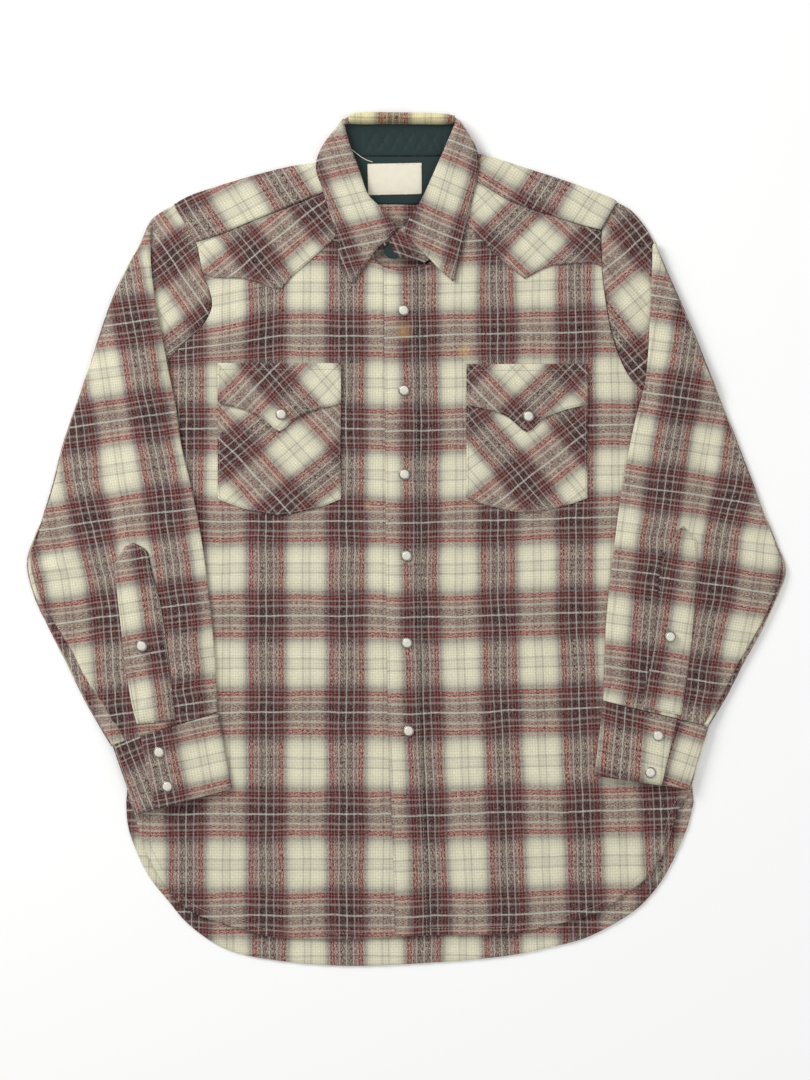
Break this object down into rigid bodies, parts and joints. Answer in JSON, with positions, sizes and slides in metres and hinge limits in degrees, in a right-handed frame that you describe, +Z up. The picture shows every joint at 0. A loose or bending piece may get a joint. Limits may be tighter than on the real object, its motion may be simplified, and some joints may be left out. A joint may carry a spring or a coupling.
{
  "type": "western snap shirt laid flat",
  "caption": "Long-sleeved western shirt in plaid flannel, laid flat with its sleeves folded down, with pointed yokes, flap pockets and pearl snaps.",
  "frame": {"origin": "middle of the whole shirt's box, on the surface it lies on", "axes": "+Z up out of the surface, +Y from the hem to the collar, +X to the viewer's right, the wearer's left"},
  "size_m": [0.7606, 0.8544, 0.0165],
  "materials": {
    "plaid_flannel": "napped wool flannel in cream, grey and red plaid",
    "dark_lining": "dark green satin lining",
    "plain_label": "cream woven tape",
    "pearl_snap": "pearl cap in a thin metal rim"
  },
  "bodies": {
    "root": {"back": "plaid_flannel", "back_yoke": "plaid_flannel", "front_right": "plaid_flannel", "front_left": "plaid_flannel", "front_band": "plaid_flannel", "front_yoke_right": "plaid_flannel", "front_yoke_left": "plaid_flannel", "pocket_right": "plaid_flannel", "pocket_left": "plaid_flannel", "pocket_flap_right": "plaid_flannel", "pocket_flap_left": "plaid_flannel", "sleeve_right": "plaid_flannel", "sleeve_left": "plaid_flannel", "sleeve_placket_right": "plaid_flannel", "sleeve_placket_left": "plaid_flannel", "cuff_right": "plaid_flannel", "cuff_left": "plaid_flannel", "collar_stand": "plaid_flannel", "collar_leaf": "plaid_flannel", "neck_lining": "dark_lining", "stand_lining": "dark_lining", "neck_label": "plain_label", "snap_front_1": "pearl_snap", "snap_front_2": "pearl_snap", "snap_front_3": "pearl_snap", "snap_front_4": "pearl_snap", "snap_front_5": "pearl_snap", "snap_front_6": "pearl_snap", "snap_pocket_right": "pearl_snap", "snap_pocket_left": "pearl_snap", "snap_placket_right": "pearl_snap", "snap_placket_left": "pearl_snap", "snap_cuff_right_1": "pearl_snap", "snap_cuff_right_2": "pearl_snap", "snap_cuff_left_1": "pearl_snap", "snap_cuff_left_2": "pearl_snap"}
  },
  "joints": []
}
